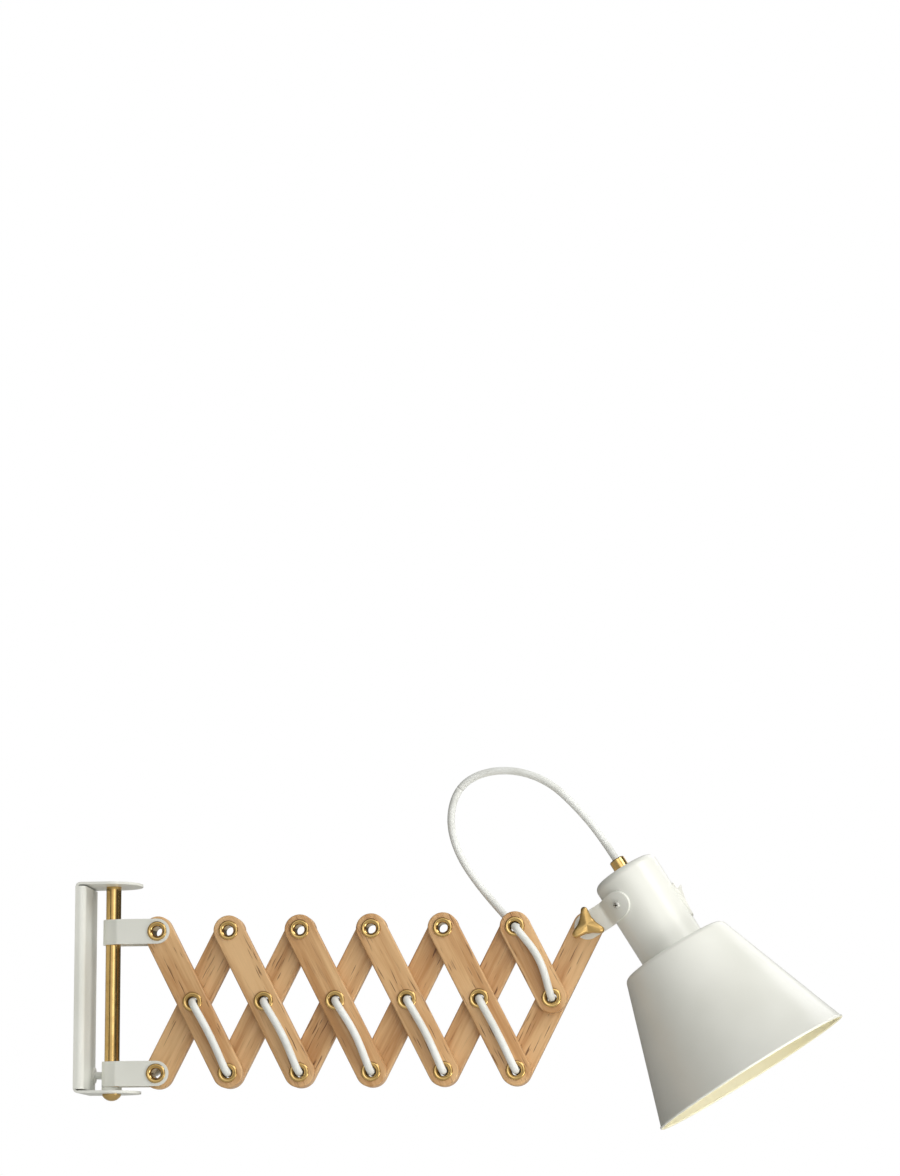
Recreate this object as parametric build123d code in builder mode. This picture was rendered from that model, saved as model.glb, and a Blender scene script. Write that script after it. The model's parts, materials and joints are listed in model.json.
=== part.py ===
"""Wall lamp on a folding scissor arm.

Frame: +Z up, +X away from the wall, -Y towards the side with the wing knob. The origin is on
the wall face of the bracket, half way up it, in the middle of its width. Millimetres, degrees.
"""

import os
from math import cos, degrees, hypot, pi, radians, sin, tan

from build123d import *

os.makedirs("parts", exist_ok=True)

# Wall bracket: a folded plate with two tabs that carry the rod
bracket_gap = 164.0  # between the two tabs
bracket_width = 47.0
bracket_sheet = 2.0
bracket_bend = 2.5  # centreline radius of the two folds
rod_distance = 26.0  # wall to rod axis
wall_hole_d = 5.0
wall_hole_rise = 110.0  # between the upper and lower wall holes
wall_hole_span = 28.0  # between the left and right wall holes
cable_hole_d = 11.0
earth_hole_d = 4.0
earth_screw_rise = -28.0
earth_screw_head_d = 8.0
earth_screw_head_h = 2.4

# Cover: a shallow channel clipped over the plate, between the tabs
cover_depth = 8.0
cover_sheet = 1.0
cover_corner = 4.0
cover_end_gap = 1.2  # dark gap left at each tab
cover_grip = 0.3  # between the cover's folded edges and the plate

# Rod, its collar and its screw
rod_d = 12.0
rod_spigot_d = 8.0
rod_screw_d = 6.0
rod_screw_reach = 12.0  # screw length inside the rod
rod_screw_head_d = 15.0
rod_screw_head_h = 5.5
collar_d = 16.0
collar_height = 3.5
collar_edge = 0.5

# Domed screw heads, as shares of the head's diameter and height
dome_edge = 0.2  # straight part of the rim
dome_side = 0.33  # where the dome's middle point stands, from the axis
dome_fall = 0.34  # how far it has fallen there

# Scissor arm
bays = 6  # crossings along the arm
slat_holes = 127.0  # first hole to last hole of a full slat
slat_width = 24.2
slat_thick = 8.0
slat_edge = 1.2
layer_gap = 0.4  # between the front and the rear layer of slats
fold_angle = 26.8  # slat to vertical at rest

# Eyelets that pin the slats
eyelet_bore_d = 7.8
eyelet_barrel_d = 9.0
eyelet_flange_d = 15.6
eyelet_flange_h = 1.2
eyelet_roll = 1.0

# Straps that wrap round the rod
strap_sheet = 2.0
strap_height = 20.0
strap_reach = 37.5  # rod axis to the arm's first hole
strap_flare = 20.0  # how steeply the strap leaves the rod
strap_bend = 6.0
strap_spacer_d = 16.0

# Cord
cord_d = 6.0
cord_hole_play = 0.2
cord_lift = 0.4  # between a held run and the eyelet flanges it passes
cord_exit_bend = 6.0
cord_arc_share = 0.45  # of the shorter straight, taken by the arc at its end
cable_aside = 2.0  # feed cord's line behind the held runs
feed_slack_x = 34.0  # where the feed stands off furthest
feed_slack_y = 3.5
feed_turn_x = 55.0  # where the first run turns up
feed_share = 0.3  # of the way from the slack to that turn, where the run takes over
front_bows = (1.6, 2.4, 3.2, 2.0, 1.0, 6.6)  # sideways bow of each front run
rear_bows = (1.0, 2.0, 1.5, 2.5, 1.0)  # the same for rear runs 2 to 6
bush_flange_d = 13.0
bush_flange_h = 1.5
bush_body_d = 9.5
bush_edge = 0.6
bush_end_gap = 1.0  # bush's inner end to the plate
cord_end_gap = 0.5  # cord's hidden end to the end of its bore

# Head: strap, pivot bolt and knob
head_tilt = 31.5  # shade axis from vertical at rest
head_offset = 47.3  # tilt pivot to shade axis
head_depth = 3.5  # shade axis behind the arm's middle plane
strap_drop = 23.5  # neck top to the head strap's centre line
head_strap_width = 21.0
head_strap_sheet = 2.0
head_strap_bend = 4.0
strap_leave_angle = 62.0  # where the strap meets the neck, from the camera side
strap_screw_angle = 41.0  # where its screw sits
strap_spare_angle = 4.0  # cut off when the strap's end is rounded
pivot_bolt_d = 6.0
pivot_bolt_head_d = 15.0
pivot_bolt_head_h = 3.5
pivot_bolt_cover = 2.0  # knob left over the bolt's end
knob_play = 0.25  # between the knob's boss and the head strap
knob_boss_d = 12.0
knob_boss_h = 6.0
knob_wing_h = 8.5
knob_reach = 14.3  # centre to the tip of a wing
knob_tip_r = 2.7
knob_root_r = 2.5  # where two wings meet
knob_edge = 1.2
knob_turn = 100.0  # direction of the first wing at rest
knob_wings = 3

# Neck and shade
neck_d = 54.0
neck_length = 75.0
neck_corner = 6.0
shell = 1.0  # wall of neck and shade
shoulder_d = 89.0
shoulder_corner = 6.0
shade_d = 166.0
shade_height = 113.0
rim_bead_d = 2.4

# Small screws
strap_screw_d = 3.5
strap_screw_head_d = 6.2
strap_screw_head_h = 2.4
strap_nut_flats = 6.0
strap_nut_h = 2.6
strap_screw_spare = 1.0  # screw standing out of its nut

# Gland, threaded tube and lamp holder
gland_d = 12.6
gland_height = 10.0
gland_grip = 4.0  # length of the gland's cord bore
gland_edge = 0.8
tube_d = 10.0
tube_bore_d = 7.2
lock_nut_flats = 14.0
lock_nut_h = 3.0
holder_top = neck_length - 15.0  # neck top to the holder's cap
holder_cap_d = 37.0
holder_skirt_d = 39.4
holder_skirt_top = neck_length - 5.0
holder_mouth = neck_length + 31.0  # neck top to the mouth of the holder
holder_lip = 2.0  # mouth to the end of the screw shell
holder_slope = 4.0  # width of the cap's sloping edge
holder_slope_top = 1.5
holder_slope_foot = 6.0
holder_boss_d = 16.0
holder_boss_h = 6.0
contact_bore_d = 26.5
contact_sheet = 0.6
contact_length = 20.0
contact_tip_d = 9.0
contact_tip_h = 2.0
ring_d = 52.0
ring_height = 8.0
ring_lip = 2.0
ring_step = 3.0  # lip to the ring's body
ring_slope = 1.0
shade_hole_play = 0.4  # radial, between the shade's hole and the holder

# Rocker switch in the side of the neck
switch_place = 0.6 * neck_length  # neck top to the middle of the switch
bezel_length = 30.0
bezel_width = 14.0
bezel_rise = 1.2  # above the neck's surface
bezel_corner = 2.0
bezel_edge = 0.7
switch_length = 26.0
switch_width = 11.0
switch_depth = 14.0
rocker_length = 22.6
rocker_width = 8.6
rocker_rise = 2.6  # rocker's middle above the neck's surface
rocker_end_rise = 1.0  # how much its ends stand above its middle
rocker_depth = 3.0
rocker_end_taper = 2.0
rocker_end_depth = 1.0
rocker_foot = 3.0  # half the width of its flat foot
rocker_end_play = 0.4
rocker_side_play = 0.3
rocker_floor_play = 1.4
rocker_tilt = 11.0  # each way from level; at rest its upper end is out

# Clearances
turn_play = 0.05  # radial, where one piece turns on another
seat_play = 0.05  # radial, where a piece sits in a hole
face_play = 0.1  # between flat faces that turn on each other

# Heights and distances worked out from the sizes above
bay = slat_holes * sin(radians(fold_angle))
low_z = -bracket_gap / 2 + collar_height + face_play * 2 + strap_height / 2
top_z = low_z + slat_holes * cos(radians(fold_angle))
mid_z = (low_z + top_z) / 2
layer_in = layer_gap / 2
layer_out = layer_in + slat_thick
leaf_out = layer_out + strap_sheet
flange_out = layer_out + face_play + eyelet_flange_h
run_y = flange_out + cord_lift + cord_d / 2
strap_hole_d = eyelet_barrel_d + 2 * turn_play
plate_front = bracket_sheet


def column(k):
    """Distance from the wall of the arm's k-th column of pivots; halves are the crossings."""
    return rod_distance + strap_reach + k * bay


pivot_x, pivot_z = column(bays), top_z


def finish(piece, label):
    """Name a finished piece and write its file."""
    piece.part.label = label
    export_step(piece.part, f"parts/{label}.step")


def side_plane(x, z, y=0.0):
    """Plane through (x, y, z) that faces -Y, with its x to +X and its y to +Z."""
    return Plane(origin=(x, y, z), x_dir=(1, 0, 0), z_dir=(0, -1, 0))


# ---------------------------------------------------------------- wall bracket
cable_y = run_y + cable_aside  # cable hole, bush and feed cord share this line
tab_middle = bracket_gap / 2 + bracket_sheet / 2

with BuildPart() as bracket:
    with BuildSketch(side_plane(0, 0)) as bracket_side:
        with BuildLine():
            FilletPolyline(
                (rod_distance + bracket_width / 2, tab_middle),
                (bracket_sheet / 2, tab_middle),
                (bracket_sheet / 2, -tab_middle),
                (rod_distance + bracket_width / 2, -tab_middle),
                radius=bracket_bend,
            )
        trace(line_width=bracket_sheet)
    extrude(amount=bracket_width / 2, both=True)
    with BuildSketch(Plane.XY) as bracket_top:
        with Locations((rod_distance / 2, 0)):
            Rectangle(rod_distance, bracket_width)
        with Locations((rod_distance, 0)):
            Circle(bracket_width / 2)
    extrude(amount=bracket_gap, both=True, mode=Mode.INTERSECT)
    with Locations((rod_distance, 0, tab_middle)):
        Cylinder(rod_spigot_d / 2 + seat_play, bracket_sheet * 2, mode=Mode.SUBTRACT)
    with Locations((rod_distance, 0, -tab_middle)):
        Cylinder(rod_screw_d / 2 + seat_play, bracket_sheet * 2, mode=Mode.SUBTRACT)
    with BuildSketch(Plane.YZ) as plate_holes:
        with GridLocations(wall_hole_span, wall_hole_rise, 2, 2):
            Circle(wall_hole_d / 2)
        with Locations((cable_y, low_z)):
            Circle(cable_hole_d / 2)
        with Locations((0, earth_screw_rise)):
            Circle(earth_hole_d / 2 + seat_play)
    extrude(amount=bracket_sheet, mode=Mode.SUBTRACT)
finish(bracket, "bracket_plate")

cover_half = bracket_width / 2 + cover_grip + cover_sheet
with BuildPart() as cover:
    cover_height = bracket_gap - 2 * cover_end_gap
    with BuildSketch(Plane.XY.offset(-cover_height / 2)) as cover_section:
        with BuildLine():
            FilletPolyline(
                (0, -cover_half + cover_sheet / 2),
                (cover_depth - cover_sheet / 2, -cover_half + cover_sheet / 2),
                (cover_depth - cover_sheet / 2, cover_half - cover_sheet / 2),
                (0, cover_half - cover_sheet / 2),
                radius=cover_corner,
            )
        trace(line_width=cover_sheet)
    extrude(amount=cover_height)
    with BuildSketch(Plane.YZ) as bush_hole:
        with Locations((cable_y, low_z)):
            Circle(bush_body_d / 2 + seat_play)
    extrude(amount=2 * cover_depth, mode=Mode.SUBTRACT)
finish(cover, "cover_channel")

with BuildPart() as rod:
    with Locations((rod_distance, 0, 0)):
        Cylinder(rod_d / 2, bracket_gap)
    with Locations((rod_distance, 0, bracket_gap / 2)):
        Cylinder(
            rod_spigot_d / 2,
            bracket_sheet,
            align=(Align.CENTER, Align.CENTER, Align.MIN),
        )
    with Locations((rod_distance, 0, -bracket_gap / 2)):
        Cylinder(
            rod_screw_d / 2 + seat_play,
            rod_screw_reach + seat_play,
            align=(Align.CENTER, Align.CENTER, Align.MIN),
            mode=Mode.SUBTRACT,
        )
finish(rod, "pivot_rod")


def add_domed_screw(plane, head_d, head_h, shank_d, shank_length):
    """Domed head above the plane, shank below it, in the current part."""
    edge_h = head_h * dome_edge
    section_plane = Plane(plane.origin, x_dir=plane.x_dir, z_dir=plane.y_dir)
    with BuildSketch(section_plane) as section:
        with BuildLine():
            Line((0, shank_length), (0, -head_h))
            ThreePointArc(
                (0, -head_h),
                (head_d * dome_side, -head_h + (head_h - edge_h) * dome_fall),
                (head_d / 2, -edge_h),
            )
            Polyline(
                (head_d / 2, -edge_h),
                (head_d / 2, 0),
                (shank_d / 2, 0),
                (shank_d / 2, shank_length),
                (0, shank_length),
            )
        make_face()
    revolve(section.sketch, axis=Axis(plane.origin, plane.z_dir))


with BuildPart() as rod_screw:
    add_domed_screw(
        Plane(
            (rod_distance, 0, -bracket_gap / 2 - bracket_sheet),
            x_dir=(1, 0, 0),
            z_dir=(0, 0, -1),
        ),
        rod_screw_head_d,
        rod_screw_head_h,
        rod_screw_d,
        bracket_sheet + rod_screw_reach,
    )
finish(rod_screw, "rod_screw")

with BuildPart() as earth_screw:
    add_domed_screw(
        Plane((plate_front, 0, earth_screw_rise), x_dir=(0, 1, 0), z_dir=(1, 0, 0)),
        earth_screw_head_d,
        earth_screw_head_h,
        earth_hole_d,
        bracket_sheet,
    )
finish(earth_screw, "earth_screw")

with BuildPart() as collar:
    with Locations((rod_distance, 0, -bracket_gap / 2)):
        Cylinder(
            collar_d / 2, collar_height, align=(Align.CENTER, Align.CENTER, Align.MIN)
        )
    with Locations((rod_distance, 0, 0)):
        Cylinder(rod_d / 2 + seat_play, bracket_gap, mode=Mode.SUBTRACT)
    fillet(collar.edges().filter_by(GeomType.CIRCLE).group_by(SortBy.RADIUS)[-1], collar_edge)
finish(collar, "rod_collar")

with BuildPart() as bush:
    with BuildSketch(Plane.YZ.offset(cover_depth)) as bush_flange:
        with Locations((cable_y, low_z)):
            Circle(bush_flange_d / 2)
    extrude(amount=bush_flange_h)
    fillet(bush.edges().sort_by(Axis.X)[-1], bush_edge)
    with BuildSketch(Plane.YZ.offset(cover_depth)) as bush_body:
        with Locations((cable_y, low_z)):
            Circle(bush_body_d / 2)
    extrude(amount=-(cover_depth - plate_front - bush_end_gap))
    with BuildSketch(Plane.YZ) as bush_bore:
        with Locations((cable_y, low_z)):
            Circle(cord_d / 2 + cord_hole_play)
    extrude(amount=2 * cover_depth, mode=Mode.SUBTRACT)
finish(bush, "cord_bush")


# ---------------------------------------------------------------- straps
def strap(label, z):
    """Steel strip wrapped round the rod, with both ends drilled for the arm's first eyelet."""
    bend_r = rod_d / 2 + turn_play + strap_sheet / 2
    leaf_y = layer_out + strap_sheet / 2
    leave = radians(strap_flare)
    run = (leaf_y - bend_r * cos(leave)) / sin(leave)
    off_x, off_y = -bend_r * sin(leave), bend_r * cos(leave)
    end_x = strap_reach + strap_height / 2
    with BuildPart() as piece:
        with BuildSketch(Plane.XY.offset(z - strap_height / 2)):
            with BuildLine(Plane((rod_distance, 0))):
                CenterArc((0, 0), bend_r, 90 + strap_flare, 180 - 2 * strap_flare)
                for side in (1, -1):
                    FilletPolyline(
                        (off_x, side * off_y),
                        (off_x + run * cos(leave), side * leaf_y),
                        (end_x, side * leaf_y),
                        radius=strap_bend,
                    )
            trace(line_width=strap_sheet)
        extrude(amount=strap_height)
        with BuildSketch(side_plane(rod_distance + strap_reach, z)):
            Rectangle(2 * strap_reach, strap_height, align=(Align.MAX, Align.CENTER))
            Circle(strap_height / 2)
            Circle(strap_hole_d / 2, mode=Mode.SUBTRACT)
        extrude(amount=2 * leaf_out, both=True, mode=Mode.INTERSECT)
    finish(piece, label)


strap("upper_strap", top_z)
strap("lower_strap", low_z)


def spacer(label, z, side):
    """Ring that fills the layer that the arm's first slat leaves empty inside a strap."""
    with BuildPart() as piece:
        with BuildSketch(side_plane(column(0), z, side * layer_in)):
            Circle(strap_spacer_d / 2)
            Circle(strap_hole_d / 2, mode=Mode.SUBTRACT)
        extrude(amount=-side * slat_thick)
    finish(piece, label)


spacer("upper_spacer", top_z, 1)
spacer("lower_spacer", low_z, -1)


# ---------------------------------------------------------------- slats
def slat(label, x, z, rises, side, holes):
    """Wooden slat from the pivot at (x, z), in the front (-1) or rear (1) layer.

    rises is 1 or -1, and holes are the distances and diameters of its holes.
    """
    lean = radians(fold_angle)
    length = holes[-1][0]
    along = (sin(lean), 0, rises * cos(lean))
    with BuildPart() as piece:
        with BuildSketch(
            Plane((x, side * layer_in, z), x_dir=along, z_dir=(0, side, 0))
        ):
            with Locations((length / 2, 0)):
                SlotCenterToCenter(length, slat_width)
            for distance, diameter in holes:
                with Locations((distance, 0)):
                    Circle(diameter / 2, mode=Mode.SUBTRACT)
        extrude(amount=slat_thick)
        outlines = [f.outer_wire().edges() for f in piece.faces().filter_by(Axis.Y)]
        fillet([edge for outline in outlines for edge in outline], slat_edge)
    finish(piece, label)


eyelet_hole = eyelet_barrel_d + 2 * turn_play
bolt_hole = pivot_bolt_d + 2 * turn_play
full_holes = [(0, eyelet_hole), (slat_holes / 2, eyelet_hole), (slat_holes, eyelet_hole)]
last_holes = full_holes[:2] + [(slat_holes, bolt_hole)]
for i in range(1, bays + 1):
    last = i == bays
    slat(
        f"rear_slat_{i}", column(i - 1), low_z, 1, 1, last_holes if last else full_holes
    )
    slat(
        f"front_slat_{i}",
        column(i - 1),
        top_z,
        -1,
        -1,
        full_holes[:2] if last else full_holes,
    )


# ---------------------------------------------------------------- eyelets
def add_eyelet(x, z, front_face, rear_face):
    """Rolled brass tube whose flanges lie on y = -front_face and y = rear_face."""
    bore, barrel, flange = eyelet_bore_d / 2, eyelet_barrel_d / 2, eyelet_flange_d / 2
    front, rear = -front_face - eyelet_flange_h, rear_face + eyelet_flange_h
    with BuildSketch(Plane((x, 0, z), x_dir=(1, 0, 0), z_dir=(0, 0, 1))) as section:
        with BuildLine():
            Polyline(
                (bore, front),
                (flange, front),
                (flange, -front_face),
                (barrel, -front_face),
                (barrel, rear_face),
                (flange, rear_face),
                (flange, rear),
                (bore, rear),
                close=True,
            )
        make_face()
        ends = section.vertices().group_by(Axis.Y)
        fillet(ends[0] + ends[-1], eyelet_roll)
    revolve(section.sketch, axis=Axis((x, 0, z), (0, 1, 0)))


for i in range(1, bays + 1):
    with BuildPart() as eyelets:
        low_front = leaf_out if i == 1 else layer_out
        low_rear = leaf_out + face_play if i == 1 else layer_out
        add_eyelet(column(i - 1), low_z, low_front + face_play, low_rear)
        add_eyelet(column(i - 0.5), mid_z, layer_out + face_play, layer_out)
        if i < bays:
            add_eyelet(column(i), top_z, layer_out + face_play, layer_out)
    finish(eyelets, f"rear_eyelets_{i}")

with BuildPart() as first_eyelet:
    add_eyelet(column(0), top_z, leaf_out, leaf_out)
finish(first_eyelet, "upper_strap_eyelet")


# ---------------------------------------------------------------- cord
def corner_radii(points, tight):
    """Largest tangent arc at each inner point; tight gives the corners with a set radius."""
    radii = []
    for k in range(1, len(points) - 1):
        before = Vector(*points[k]) - Vector(*points[k - 1])
        after = Vector(*points[k + 1]) - Vector(*points[k])
        half_turn = radians(before.get_angle(after)) / 2
        reach = cord_arc_share * min(before.length, after.length)
        radii.append(tight.get(k, reach / tan(half_turn)))
    return radii


def cord_run(label, points, tight=None):
    """One stretch of the cord: straight runs joined by tangent arcs."""
    radii = corner_radii(points, tight or {})
    with BuildPart() as piece:
        with BuildLine() as route:
            FilletPolyline(*points, radius=radii)
        line = route.wires()[0]
        with BuildSketch(Plane(origin=line @ 0, z_dir=line % 0)):
            Circle(cord_d / 2)
        sweep(path=line)
    ideal = pi * (cord_d / 2) ** 2 * line.length
    print(
        f"{label}: {line.length:.1f} mm, volume share {piece.part.volume / ideal:.4f},",
        "radii",
        [round(r, 1) for r in radii],
    )
    finish(piece, label)


def held_run(label, start, end, side, bow, bow_x):
    """Stretch from one eyelet to the next along a slat; bow_x is 1 where it bows to +X."""
    (x0, z0), (x1, z1) = start, end
    span = hypot(x1 - x0, z1 - z0)
    aside_x, aside_z = abs(z1 - z0) / span, abs(x1 - x0) / span
    if (x1 - x0) * (z1 - z0) > 0:
        aside_z = -aside_z
    middle = (
        (x0 + x1) / 2 + bow_x * bow * aside_x,
        side * run_y,
        (z0 + z1) / 2 + bow_x * bow * aside_z,
    )
    cord_run(
        label,
        [
            (x0, 0, z0),
            (x0, side * run_y, z0),
            middle,
            (x1, side * run_y, z1),
            (x1, 0, z1),
        ],
        {1: cord_exit_bend, 3: cord_exit_bend},
    )


for i in range(1, bays):
    held_run(
        f"front_cord_{i}",
        (column(i - 0.5), mid_z),
        (column(i), low_z),
        -1,
        front_bows[i - 1],
        1,
    )
    held_run(
        f"rear_cord_{i + 1}",
        (column(i), low_z),
        (column(i + 0.5), mid_z),
        1,
        rear_bows[i - 1],
        -1,
    )
held_run(
    f"front_cord_{bays}",
    (column(bays - 0.5), mid_z),
    (column(bays - 1), top_z),
    -1,
    front_bows[bays - 1],
    1,
)

# The feed leaves the bush, stands off behind the lower strap as slack for the swivel, and
# hands over to the first run, which turns up along the first rear slat.
feed_slack = (feed_slack_x, cable_y + feed_slack_y, low_z - 1.0)
first_turn = (feed_turn_x, cable_y + feed_slack_y - 0.3, low_z - 0.5)
hand_over = tuple(a + feed_share * (b - a) for a, b in zip(feed_slack, first_turn))
lean_x, lean_z = sin(radians(fold_angle)), cos(radians(fold_angle))
cord_run(
    "cord_feed",
    [
        (plate_front + 1.0, cable_y, low_z),
        (rod_distance - rod_d / 2, cable_y, low_z),
        feed_slack,
        hand_over,
    ],
)
cord_run(
    "rear_cord_1",
    [
        hand_over,
        first_turn,
        (column(0) + 3.5, cable_y + 0.6, low_z + 8.0),
        (column(0) + 24.0 * lean_x, run_y + 0.6, low_z + 24.0 * lean_z),
        (column(0) + 44.0 * lean_x - 0.8, run_y + 0.2, low_z + 44.0 * lean_z),
        (column(0.5), run_y, mid_z),
        (column(0.5), 0, mid_z),
    ],
    {5: cord_exit_bend},
)

# ---------------------------------------------------------------- head frame
# along runs down the shade's axis, across runs from the tilt pivot to that axis.
tilt = radians(head_tilt)
along = Vector(sin(tilt), 0, -cos(tilt))
across = Vector(cos(tilt), 0, sin(tilt))
pivot = Vector(pivot_x, 0, pivot_z)
neck_top = pivot + across * head_offset - along * strap_drop + Vector(0, head_depth, 0)
neck_r = neck_d / 2


def axis_plane(distance=0.0):
    """Plane square to the shade's axis, its x across, its y towards the camera side."""
    return Plane(neck_top + along * distance, x_dir=across, z_dir=along)


def add_turned(outline):
    """Solid of revolution about the shade's axis from points (radius, distance)."""
    with BuildSketch(Plane(neck_top, x_dir=across, z_dir=(0, 1, 0))) as section:
        with BuildLine():
            Polyline(*outline, close=True)
        make_face()
    revolve(section.sketch, axis=Axis(neck_top, along))


# ---------------------------------------------------------------- free loop of cord
gland_mouth = neck_top - along * gland_height
top_eyelet = Vector(column(bays - 1), 0, top_z)


def from_pivot(x, y, z):
    """A point of the loop, given from the tilt pivot."""
    return (pivot_x + x, y, pivot_z + z)


cord_run(
    "cord_loop",
    [
        tuple(top_eyelet),
        tuple(top_eyelet + Vector(0, run_y + 1.0, 0)),
        from_pivot(-86.0, 17.0, 33.0),
        from_pivot(-105.0, 18.5, 61.5),
        from_pivot(-112.0, 18.0, 90.0),
        from_pivot(-104.5, 16.5, 115.5),
        from_pivot(-84.0, 14.5, 127.5),
        from_pivot(-56.0, 12.0, 128.0),
        from_pivot(-29.5, 9.0, 117.0),
        from_pivot(-8.0, 6.0, 96.0),
        tuple(gland_mouth - along * 22.0),
        tuple(gland_mouth + along * (gland_grip - cord_end_gap)),
    ],
    {1: cord_exit_bend},
)

# ---------------------------------------------------------------- head strap
strap_r = neck_r + head_strap_sheet / 2  # centreline of its wrapped end
flat_c = head_depth - layer_in + face_play + head_strap_sheet / 2
leave_at = radians(strap_leave_angle)
screw_at = radians(strap_screw_angle)
slope_run = (strap_r * cos(leave_at) - flat_c) / sin(leave_at)
fold_p = -strap_r * sin(leave_at) - slope_run * cos(leave_at)
strap_end_angle = strap_screw_angle - strap_spare_angle
strap_end_angle -= degrees(head_strap_width / 2 / strap_r)
strap_plane = axis_plane(strap_drop)
screw_normal = across * -sin(screw_at) + Vector(0, -cos(screw_at), 0)
screw_seat = strap_plane.origin + screw_normal * neck_r
toward_pivot = across * -cos(screw_at) + Vector(0, sin(screw_at), 0)
strap_screw_hole = strap_screw_d / 2 + seat_play

with BuildPart() as head_strap:
    with BuildSketch(strap_plane):
        with BuildLine():
            FilletPolyline(
                (-head_offset - head_strap_width, flat_c),
                (fold_p, flat_c),
                (-strap_r * sin(leave_at), strap_r * cos(leave_at)),
                radius=head_strap_bend,
            )
            CenterArc(
                (0, 0),
                strap_r,
                90 + strap_leave_angle,
                strap_end_angle - strap_leave_angle,
            )
        trace(line_width=head_strap_sheet)
    extrude(amount=head_strap_width / 2, both=True)
    with BuildSketch(Plane(pivot, x_dir=across, z_dir=(0, -1, 0))):
        Circle(head_strap_width / 2)
        Rectangle(
            2 * head_offset, head_strap_width, align=(Align.MIN, Align.CENTER)
        )
        Circle(pivot_bolt_d / 2 + turn_play, mode=Mode.SUBTRACT)
    extrude(amount=2 * neck_d, both=True, mode=Mode.INTERSECT)
    with BuildSketch(Plane(screw_seat, x_dir=toward_pivot, z_dir=screw_normal)):
        Circle(head_strap_width / 2)
        Rectangle(
            2 * head_offset, head_strap_width, align=(Align.MIN, Align.CENTER)
        )
        Circle(strap_screw_hole, mode=Mode.SUBTRACT)
    extrude(amount=2 * neck_d, both=True, mode=Mode.INTERSECT)
finish(head_strap, "head_strap")

with BuildPart() as strap_screw:
    add_domed_screw(
        Plane(
            screw_seat + screw_normal * head_strap_sheet,
            x_dir=along,
            z_dir=screw_normal,
        ),
        strap_screw_head_d,
        strap_screw_head_h,
        strap_screw_d,
        head_strap_sheet + shell + strap_nut_h + strap_screw_spare,
    )
finish(strap_screw, "strap_screw")

nut_corner = strap_nut_flats / 3**0.5 + seat_play
nut_sag = neck_r - shell - ((neck_r - shell) ** 2 - nut_corner**2) ** 0.5
with BuildPart() as strap_nut:
    with BuildSketch(
        Plane(screw_seat - screw_normal * (shell + nut_sag), z_dir=-screw_normal)
    ):
        RegularPolygon(strap_nut_flats / 2, 6, major_radius=False)
        Circle(strap_screw_hole, mode=Mode.SUBTRACT)
    extrude(amount=strap_nut_h)
finish(strap_nut, "strap_nut")

# ---------------------------------------------------------------- pivot bolt and knob
strap_face = flat_c + head_strap_sheet / 2 - head_depth  # front of the strap, towards -Y
knob_base = strap_face + knob_play
with BuildPart() as pivot_bolt:
    add_domed_screw(
        Plane(
            (pivot_x, layer_out, pivot_z),
            x_dir=(1, 0, 0),
            z_dir=(0, 1, 0),
        ),
        pivot_bolt_head_d,
        pivot_bolt_head_h,
        pivot_bolt_d,
        layer_out + knob_base + knob_boss_h + knob_wing_h - pivot_bolt_cover,
    )
finish(pivot_bolt, "pivot_bolt")

with BuildSketch() as wing:
    Circle(knob_boss_d / 2)
    with Locations((knob_reach - knob_tip_r, 0)):
        Circle(knob_tip_r)
    make_hull()

with BuildPart() as knob:
    with BuildSketch(side_plane(pivot_x, pivot_z, -knob_base)):
        Circle(knob_boss_d / 2)
    extrude(amount=knob_boss_h)
    with BuildSketch(
        side_plane(pivot_x, pivot_z, -knob_base - knob_boss_h)
    ) as knob_outline:
        with PolarLocations(0, knob_wings, start_angle=knob_turn):
            add(wing.sketch)
        roots = knob_outline.vertices().sort_by(SortBy.DISTANCE)[:knob_wings]
        fillet(roots, knob_root_r)
    extrude(amount=knob_wing_h)
    fillet(knob.faces().sort_by(Axis.Y)[0].edges(), knob_edge)
    with BuildSketch(side_plane(pivot_x, pivot_z, -knob_base)):
        Circle(pivot_bolt_d / 2 + seat_play)
    extrude(
        amount=knob_boss_h + knob_wing_h - pivot_bolt_cover + seat_play,
        mode=Mode.SUBTRACT,
    )
finish(knob, "wing_knob")

# ---------------------------------------------------------------- neck and shade
with BuildPart() as neck:
    with BuildSketch(Plane(neck_top, x_dir=across, z_dir=(0, 1, 0))):
        with BuildLine():
            FilletPolyline(
                (tube_d / 2 + seat_play, shell / 2),
                (neck_r - shell / 2, shell / 2),
                (neck_r - shell / 2, neck_length),
                radius=neck_corner - shell / 2,
            )
        trace(line_width=shell)
    revolve(axis=Axis(neck_top, along))
    with BuildSketch(Plane(screw_seat, z_dir=-screw_normal)):
        Circle(strap_screw_hole)
    extrude(amount=neck_r / 2, both=True, mode=Mode.SUBTRACT)
    with BuildSketch(Plane(neck_top, x_dir=(0, -1, 0), z_dir=across)):
        with Locations((0, switch_place)):
            Rectangle(switch_width + 2 * seat_play, switch_length + 2 * seat_play)
    extrude(amount=neck_d, mode=Mode.SUBTRACT)
finish(neck, "neck_housing")

shoulder_r = shoulder_d / 2 - shell / 2
shade_r = shade_d / 2 - shell / 2
shoulder_at = neck_length + shell / 2
with BuildPart() as shade:
    with BuildSketch(Plane(neck_top, x_dir=across, z_dir=(0, 1, 0))):
        with BuildLine():
            FilletPolyline(
                (holder_skirt_d / 2 + shade_hole_play, shoulder_at),
                (shoulder_r, shoulder_at),
                (shade_r, shoulder_at + shade_height),
                radius=shoulder_corner - shell / 2,
            )
        trace(line_width=shell)
        with Locations((shade_r, shoulder_at + shade_height)):
            Circle(rim_bead_d / 2)
    revolve(axis=Axis(neck_top, along))
finish(shade, "shade_cone")

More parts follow.
